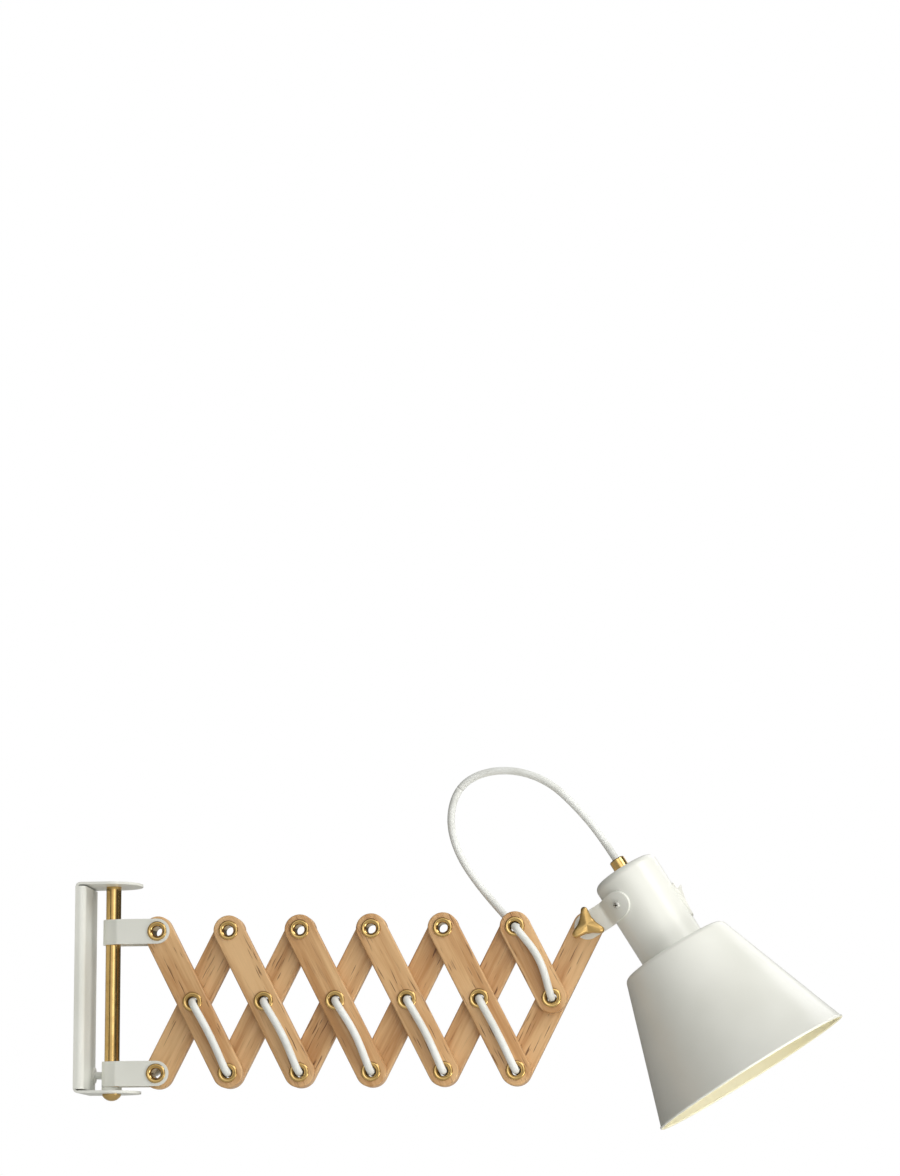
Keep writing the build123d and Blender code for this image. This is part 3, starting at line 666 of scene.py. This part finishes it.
class LAMP_OT_cords(bpy.types.Operator):
    """Lays the cord's free stretches and finishes the stretches held by the slats"""

    bl_idname = "lamp.cords"
    bl_label = "Cord"

    def execute(self, context):
        settings = context.scene.lamp.cord
        sheath = sheath_finish("cord_sheath", settings.sheath)
        radius = settings.diameter / 2
        held = [f"front_cord_{i}" for i in range(1, BAYS + 1)]
        held += [f"rear_cord_{i}" for i in range(2, BAYS + 1)]
        dress(sheath, *held)

        feed_route = [
            (0.003, 0.0149, LOW_Z), (0.020, 0.0149, LOW_Z),
            (0.034, 0.0184, LOW_Z - 0.001), (0.0403, 0.01831, LOW_Z - 0.00085),
        ]
        feed_path = spline_path(feed_route)
        feed = tube("cord_from_bush", feed_path, radius, sheath)
        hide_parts("cord_feed")
        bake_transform(feed)
        self.declare(feed, feed_path, settings, "taut")

        first_route = [
            (0.0403, 0.01831, LOW_Z - 0.00085), (0.055, 0.0181, LOW_Z - 0.0005),
            (0.067, 0.0155, LOW_Z + 0.008), (0.07432, 0.0135, LOW_Z + 0.02142),
            (0.08254, 0.0131, LOW_Z + 0.03927), (0.09213, 0.0129, (LOW_Z + TOP_Z) / 2),
            (0.09213, 0.0, (LOW_Z + TOP_Z) / 2),
        ]
        first_path = spline_path(first_route)
        first = tube("cord_first_run", first_path, radius, sheath)
        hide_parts("rear_cord_1")
        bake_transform(first)
        self.declare(first, first_path, settings, "taut")

        last_eyelet = PIVOT - Vector((BAY, 0, 0))
        mouth = NECK_TOP - ALONG * 0.010
        loop_route = [
            last_eyelet, last_eyelet + Vector((0, 0.0139, 0)),
            PIVOT + Vector((-0.0860, 0.0170, 0.0330)), PIVOT + Vector((-0.1050, 0.0185, 0.0615)),
            PIVOT + Vector((-0.1120, 0.0180, 0.0900)), PIVOT + Vector((-0.1045, 0.0165, 0.1155)),
            PIVOT + Vector((-0.0840, 0.0145, 0.1275)), PIVOT + Vector((-0.0560, 0.0120, 0.1280)),
            PIVOT + Vector((-0.0295, 0.0090, 0.1170)), PIVOT + Vector((-0.0080, 0.0060, 0.0960)),
            mouth - ALONG * 0.022, mouth + ALONG * 0.0035,
        ]
        loop_path = spline_path(loop_route)
        split = min(
            range(len(loop_path)), key=lambda i: (loop_path[i] - loop_route[5]).length
        )
        rise_path, fall_path = loop_path[: split + 1], loop_path[split:]
        rise = tube("cord_loop_rise", rise_path, radius, sheath, after=fall_path[1])
        fall = tube("cord_loop_fall", fall_path, radius, sheath, before=rise_path[-2])
        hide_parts("cord_loop")
        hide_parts("cord_loop")
        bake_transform(rise)
        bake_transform(fall)
        self.declare(rise, rise_path, settings, "loose")
        self.declare(fall, fall_path, settings, "loose")
        return {"FINISHED"}

    def declare(self, piece, path, settings, lay):
        """Does nothing: no stretch of the cord is named and no length is given."""


class LAMP_OT_shade(bpy.types.Operator):
    """Spins the cone shade, white outside and cream inside"""

    bl_idname = "lamp.shade"
    bl_label = "Shade"

    def execute(self, context):
        size, metal = context.scene.lamp.shade, context.scene.lamp.metal
        outside = paint_finish("paint_shade", metal.paint, metal.paint_shade, 0.36)
        inside = paint_finish("paint_lining", metal.lining, srgb(252, 246, 216), 0.55, 0.0)
        slope = math.atan2(size.height, size.rim - size.shoulder)
        lean = math.degrees(slope)
        bend = 0.006
        top, foot = size.start, size.start + size.wall / 2 + size.height
        reach = bend * math.tan(slope / 2)
        centre = (size.shoulder - reach, top + bend)
        outer = [(0.0201, top), (0.026, top)]
        outer += arc(centre, bend, -90, -90 + lean, 8)
        bead = 0.0012
        rim = (size.rim - size.wall / 2, foot)
        rolled = arc(rim, bead, lean - 90 - 65, lean - 90 + 245, 14)
        inner_bend = bend - size.wall
        inner = arc(centre, inner_bend, -90 + lean, -90, 8)
        inner += [(0.026, top + size.wall), (0.0201, top + size.wall)]
        outline = outer + rolled + inner
        slots = [0] * (len(outer) + 6) + [1] * (len(outline) - len(outer) - 6)
        shade = lathe(
            "shade_skin", outline, size.segments, [outside, inside], slots,
            NECK_TOP, ALONG, ACROSS,
        )
        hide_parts("shade_cone")
        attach(shade, "head")
        return {"FINISHED"}


class LAMP_OT_eyelets(bpy.types.Operator):
    """Rolls the brass eyelets of the slats and of the upper strap"""

    bl_idname = "lamp.eyelets"
    bl_label = "Eyelets"

    def execute(self, context):
        settings = context.scene.lamp
        brass = brass_finish("brass_eyelets", settings.metal, 0.16)
        for i in range(1, BAYS + 1):
            x = FIRST_X + (i - 1) * BAY
            places = [(x, LOW_Z), (x + BAY / 2, (LOW_Z + TOP_Z) / 2)]
            if i < BAYS:
                places.append((x + BAY, TOP_Z))
            node = f"rear_eyelets_{i}"
            reach = [(SLAT_FACE + SLIP, SLAT_FACE)] * len(places)
            if i == 1:
                reach[0] = (STRAP_FACE + SLIP, STRAP_FACE + SLIP)
            rings = [
                self.ring(f"{node}_{k}", settings.eyelet, brass, *place, *faces)
                for k, (place, faces) in enumerate(zip(places, reach))
            ]
            self.join(f"rolled_eyelets_{i}", rings, node, f"rear_arm_{i}")
        ring = self.ring(
            "strap_ring", settings.eyelet, brass, FIRST_X, TOP_Z, STRAP_FACE, STRAP_FACE
        )
        self.join("rolled_strap_eyelet", [ring], "upper_strap_eyelet", "upper_swivel")
        return {"FINISHED"}

    def ring(self, name, size, brass, x, z, front, rear):
        """One eyelet whose two rolled flanges lie on y = -front and y = rear."""
        bore, barrel, flange, lift = size.bore, size.barrel, size.flange, size.lift
        width = flange - bore
        rolled = [
            (barrel, 0.0), (flange - 0.09 * width, 0.0), (flange - 0.01 * width, 0.17 * lift),
            (flange, 0.40 * lift), (flange - 0.04 * width, 0.66 * lift),
            (flange - 0.12 * width, 0.87 * lift), (flange - 0.23 * width, 0.98 * lift),
            (flange - 0.36 * width, lift), (flange - 0.50 * width, 0.95 * lift),
            (flange - 0.64 * width, 0.80 * lift), (flange - 0.77 * width, 0.55 * lift),
            (flange - 0.88 * width, 0.20 * lift), (flange - 0.96 * width, -0.30 * lift),
            (bore, -0.95 * lift),
        ]
        outline = [(radius, rear + height) for radius, height in rolled]
        outline += [(radius, -front - height) for radius, height in reversed(rolled)]
        return lathe(
            name, outline, size.segments, [brass], [0] * len(outline),
            Vector((x, 0, z)), Vector((0, 1, 0)), Vector((1, 0, 0)),
        )

    def join(self, name, rings, node, body):
        """Makes one piece of the rings that stand for a node."""
        work = bmesh.new()
        for ring in rings:
            work.from_mesh(ring.data)
        mesh = rings[0].data
        work.to_mesh(mesh)
        work.free()
        for ring in rings[1:]:
            spare = ring.data
            bpy.data.objects.remove(ring)
            bpy.data.meshes.remove(spare)
        piece = rings[0]
        piece.name = name
        mesh.shade_smooth()
        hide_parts(node)
        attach(piece, body)


class LAMP_OT_knob(bpy.types.Operator):
    """Casts the knob with its three ridged wings"""

    bl_idname = "lamp.knob"
    bl_label = "Wing Knob"

    def execute(self, context):
        size, metal = context.scene.lamp.knob, context.scene.lamp.metal
        brass = brass_finish("brass_knob", metal, 0.42, (0, 1, 0), 0.2)
        low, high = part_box("wing_knob")
        deep = high.y - low.y
        # Depth from the rear and share of the wings' outline; no share stands for the boss.
        rows = [
            (0.0, 0.0), (0.0005, 0.0), (0.0050, 0.0), (0.0058, 0.0), (0.0061, 0.86),
            (0.0064, 0.95), (0.0071, 1.0), (0.0090, 1.0), (0.0108, 1.0),
        ]
        rings = []
        for depth, share in rows:
            rings.append([
                (self.outline(size, k) * share if share else size.boss, depth)
                for k in range(size.segments)
            ])
        for share in (0.985, 0.95, 0.90, 0.82, 0.70, 0.55, 0.40, 0.25, 0.12):
            rings.append([
                (self.outline(size, k) * share, deep - self.fall(size, k, share))
                for k in range(size.segments)
            ])
        vertices, faces = [], []
        for ring in rings:
            for k, (radius, depth) in enumerate(ring):
                turn = 2 * math.pi * k / size.segments
                vertices.append((
                    PIVOT.x + radius * math.cos(turn), high.y - depth,
                    PIVOT.z + radius * math.sin(turn),
                ))
        steps = size.segments
        for i in range(len(rings) - 1):
            for k in range(steps):
                a, b = i * steps + k, i * steps + (k + 1) % steps
                faces.append((a, b, b + steps, a + steps))
        faces.append(tuple(range(steps)))
        faces.append(tuple(range((len(rings) - 1) * steps, len(rings) * steps)))
        knob = new_mesh("knob_casting", vertices, faces, [brass])
        work = bmesh.new()
        work.from_mesh(knob.data)
        bmesh.ops.recalc_face_normals(work, faces=work.faces)
        work.to_mesh(knob.data)
        work.free()
        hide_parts("wing_knob")
        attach(knob, "knob")
        return {"FINISHED"}

    def away(self, size, k):
        """Angle from the middle of the nearest wing."""
        third = 2 * math.pi / 3
        wing = (2 * math.pi * k / size.segments - size.first_wing) % third
        return min(wing, third - wing)

    def outline(self, size, k):
        """Radius of the three wings' outline, with the hollows between them rounded."""
        away = self.away(size, k)
        distance = size.reach - size.tip
        side = math.acos((size.waist - size.tip) / distance)
        inside = (size.tip / distance) ** 2 - math.sin(away) ** 2
        cap = distance * (math.cos(away) + math.sqrt(inside)) if inside > 0 else 0
        edge = size.waist / math.cos(side - away) if away < side else size.waist
        touch = math.atan2(size.tip * math.sin(side), distance + size.tip * math.cos(side))
        sharp = cap if away < touch else edge
        blend = max(0.0, 1 - (math.pi / 3 - away) / 0.5)
        return sharp + size.hollow * blend * blend

    def fall(self, size, k, share):
        """How far the front face lies below its highest point: three ridges and a soft edge."""
        away = self.away(size, k) / (math.pi / 3)
        edge = size.edge * max(0.0, (share - 0.80) / 0.185) ** 2.2
        return size.crown * share * away + 0.25 * size.crown * share ** 2 + edge


class LAMP_OT_screw(bpy.types.Operator):
    """Forms the strap screw's domed head with its cross recess, whose sunk faces take a dark brown
    as painted shade
    """

    bl_idname = "lamp.screw"
    bl_label = "Strap Screw"

    def execute(self, context):
        finish = zinc_finish("zinc_screw", context.scene.lamp.metal, 0.35)
        seat_turn = math.radians(41)
        normal = ACROSS * -math.sin(seat_turn) + Vector((0, -math.cos(seat_turn), 0))
        seat = NECK_TOP + ALONG * 0.0235 + normal * 0.029
        side = ALONG.cross(normal)
        head_r, head_h = 0.0031, 0.0024
        recess_depth, end_slope, side_slope = 0.0011, 0.0004, 0.00012
        rings, steps = 18, 96
        vertices, faces = [], []
        cut = math.radians(28)

        def height(x, y, r):
            dome = head_h * 0.25 + head_h * 0.75 * math.sqrt(max(0, 1 - (r / head_r) ** 2 * 0.985))
            end, wall = self.inside(x, y, cut)
            if end > 0 and wall > 0:
                dome -= recess_depth * min(1, end / end_slope) * min(1, wall / side_slope)
            return dome

        for i in range(rings + 1):
            r = head_r * i / rings
            for k in range(steps):
                turn = 2 * math.pi * k / steps
                x, y = r * math.cos(turn), r * math.sin(turn)
                vertices.append(seat + ALONG * x + side * y + normal * height(x, y, r))
        for k in range(steps):
            turn = 2 * math.pi * k / steps
            vertices.append(
                seat + ALONG * head_r * math.cos(turn) + side * head_r * math.sin(turn)
            )
        for i in range(rings + 1):
            for k in range(steps):
                a, b = i * steps + k, i * steps + (k + 1) % steps
                faces.append((a, b, b + steps, a + steps))
        base = (rings + 1) * steps
        faces.append(tuple(range(base, base + steps)))
        # The dark brown on the recess's faces is painted shade: it stands for the shadow inside
        # the cross.
        recess = plastic_finish("screw_recess", srgb(84, 74, 60), 0.5)
        head = new_mesh("screw_head", vertices, faces, [finish, recess])
        # Faces sunk into the cross get the painted shade's material.
        for face in head.data.polygons:
            away = face.center - seat
            sunk_in_painted_shade = min(self.inside(away.dot(ALONG), away.dot(side), cut)) > 0
            face.material_index = int(len(face.vertices) == 4 and sunk_in_painted_shade)
        work = bmesh.new()
        work.from_mesh(head.data)
        bmesh.ops.remove_doubles(work, verts=work.verts, dist=1e-7)
        bmesh.ops.recalc_face_normals(work, faces=work.faces)
        work.to_mesh(head.data)
        work.free()
        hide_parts("strap_screw")
        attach(head, "head")
        return {"FINISHED"}

    def inside(self, x, y, cut):
        """How far a place lies within the cross recess: from its arms' ends and from its walls."""
        reach, half_width = 0.0019, 0.00042
        a = abs(x * math.cos(cut) + y * math.sin(cut))
        b = abs(y * math.cos(cut) - x * math.sin(cut))
        return reach - math.hypot(x, y), half_width - min(a, b)


class LAMP_OT_stage(bpy.types.Operator):
    """Sets out the floor, the studio lights and the camera"""

    bl_idname = "lamp.stage"
    bl_label = "Stage"

    def execute(self, context):
        stage = context.scene.lamp.stage
        self.floor(stage)
        self.world(stage)
        for lamp in LAMPS:
            self.light(*lamp)
        self.camera(stage)
        context.scene.view_settings.view_transform = "Standard"
        return {"FINISHED"}

    def floor(self, stage):
        """Large round pale floor that looks whiter to the camera than it lights the lamp."""
        finish = Finish("floor_paper", Roughness=0.9)
        mottle = finish.noise(finish.place(), 6.0, 3.0)
        darker = tuple(c * 0.97 for c in stage.floor)
        camera = finish.node("ShaderNodeLightPath", output="Is Camera Ray")
        glow = finish.blend_colour(camera, (0, 0, 0), (0.40, 0.40, 0.40))
        finish.set(
            Base_Color=finish.blend_colour(mottle, stage.floor, darker), Emission_Color=glow,
            Emission_Strength=1.0,
        )
        drop = -stage.floor_drop
        sides, reach = 64, 14.0
        turns = [2 * math.pi * k / sides for k in range(sides)]
        vertices = [(0, 0, drop)]
        vertices += [(reach * math.cos(turn), reach * math.sin(turn), drop) for turn in turns]
        faces = [(0, k + 1, (k + 1) % sides + 1) for k in range(sides)]
        new_mesh("floor", vertices, faces, [finish.material], False)

    def world(self, stage):
        """Surroundings that fade from bright at the upper right to dark at the lower left.

        The camera and what is seen through the lamp get plain white instead, and what metal
        mirrors fades from the same white in front to a dark room beside it.
        """
        world = bpy.data.worlds.new("studio")
        bpy.context.scene.world = world
        world.use_nodes = True
        graph = Graph(world.node_tree)
        ray = graph.node("ShaderNodeTexCoord", output="Generated")
        side = graph.dot(ray, Vector((0.72, -0.10, 0.68)).normalized())
        strength = graph.remap(side, -0.75, 0.95, stage.shadow_side, stage.lit_side)
        front = graph.dot(ray, Vector((0.16, -0.96, 0.22)).normalized())
        panel = graph.remap(front, 0.66, 0.97, stage.mirror_side, 1.0)
        mirrored = graph.node("ShaderNodeLightPath", output="Is Glossy Ray")
        camera = graph.node("ShaderNodeLightPath", output="Is Camera Ray")
        through = graph.node("ShaderNodeLightPath", output="Is Transmission Ray")
        seen = camera | through
        unseen = mirrored * panel + strength * (1 - mirrored)
        background = graph.nodes["Background"]
        tint = graph.blend_colour(seen, stage.surroundings, (1, 1, 1))
        graph.feed(background.inputs["Color"], tint)
        graph.feed(background.inputs["Strength"], seen + unseen * (1 - seen))

    def light(self, name, place, size, power, colour):
        """Square soft light aimed at the arm."""
        data = bpy.data.lights.new(name, "AREA")
        data.size = size
        data.energy = power
        data.color = colour
        lamp = bpy.data.objects.new(name, data)
        lamp.location = place
        lamp.visible_camera = False
        aim = LAMP_AIM - Vector(place)
        lamp.rotation_euler = aim.to_track_quat("-Z", "Y").to_euler()
        bpy.context.scene.collection.objects.link(lamp)

    def camera(self, stage):
        """Camera a little below the lamp, with its frame shifted up."""
        data = bpy.data.cameras.new("camera")
        data.lens = stage.lens
        data.sensor_width = 36
        data.shift_y = 0.2
        camera = bpy.data.objects.new("camera", data)
        a, e, r = stage.azimuth, stage.elevation, stage.roll
        back = Vector((math.sin(a) * math.cos(e), -math.cos(a) * math.cos(e), math.sin(e)))
        right = Vector((math.cos(a), math.sin(a), 0))
        up = back.cross(right)
        x_axis = right * math.cos(r) + up * math.sin(r)
        y_axis = up * math.cos(r) - right * math.sin(r)
        turned = Matrix((x_axis, y_axis, back)).transposed().to_4x4()
        place = CAMERA_AIM + back * stage.distance
        camera.matrix_world = Matrix.Translation(place) @ turned
        bpy.context.scene.collection.objects.link(camera)
        bpy.context.scene.camera = camera


class LAMP_PT_sidebar(bpy.types.Panel):
    """Lists the lamp's pieces in the sidebar"""

    bl_idname = "LAMP_PT_sidebar"
    bl_label = "Wall Lamp"
    bl_space_type = "VIEW_3D"
    bl_region_type = "UI"
    bl_category = "Wall Lamp"

    def draw(self, context):
        lamp = context.scene.lamp
        for operator, group in PIECES:
            self.layout.operator(operator.bl_idname)
            if group:
                box = self.layout.box()
                settings = getattr(lamp, group)
                for name in settings.bl_rna.properties.keys()[1:]:
                    if name != "name":
                        box.prop(settings, name)


PIECES = (
    (LAMP_OT_stage, "stage"),
    (LAMP_OT_cords, "cord"),
    (LAMP_OT_slats, "wood"),
    (LAMP_OT_brass, "metal"),
    (LAMP_OT_paint, None),
    (LAMP_OT_shade, "shade"),
    (LAMP_OT_eyelets, "eyelet"),
    (LAMP_OT_knob, "knob"),
    (LAMP_OT_screw, None),
)

CLASSES = (
    WoodSettings,
    MetalSettings,
    CordSettings,
    ShadeSettings,
    EyeletSettings,
    KnobSettings,
    StageSettings,
    LampSettings,
    *(operator for operator, _ in PIECES),
    LAMP_PT_sidebar,
)


def register():
    """Registers the classes and the scene's settings."""
    for made in CLASSES:
        bpy.utils.register_class(made)
    bpy.types.Scene.lamp = PointerProperty(type=LampSettings)


def unregister():
    """Takes the classes and the settings away."""
    del bpy.types.Scene.lamp
    for made in reversed(CLASSES):
        bpy.utils.unregister_class(made)


def main():
    """Makes every piece in order."""
    register()
    bpy.ops.lamp.stage()
    bpy.ops.lamp.cords()
    bpy.ops.lamp.slats()
    bpy.ops.lamp.brass()
    bpy.ops.lamp.paint()
    bpy.ops.lamp.shade()
    bpy.ops.lamp.eyelets()
    bpy.ops.lamp.knob()
    bpy.ops.lamp.screw()


if __name__ == "__main__":
    main()
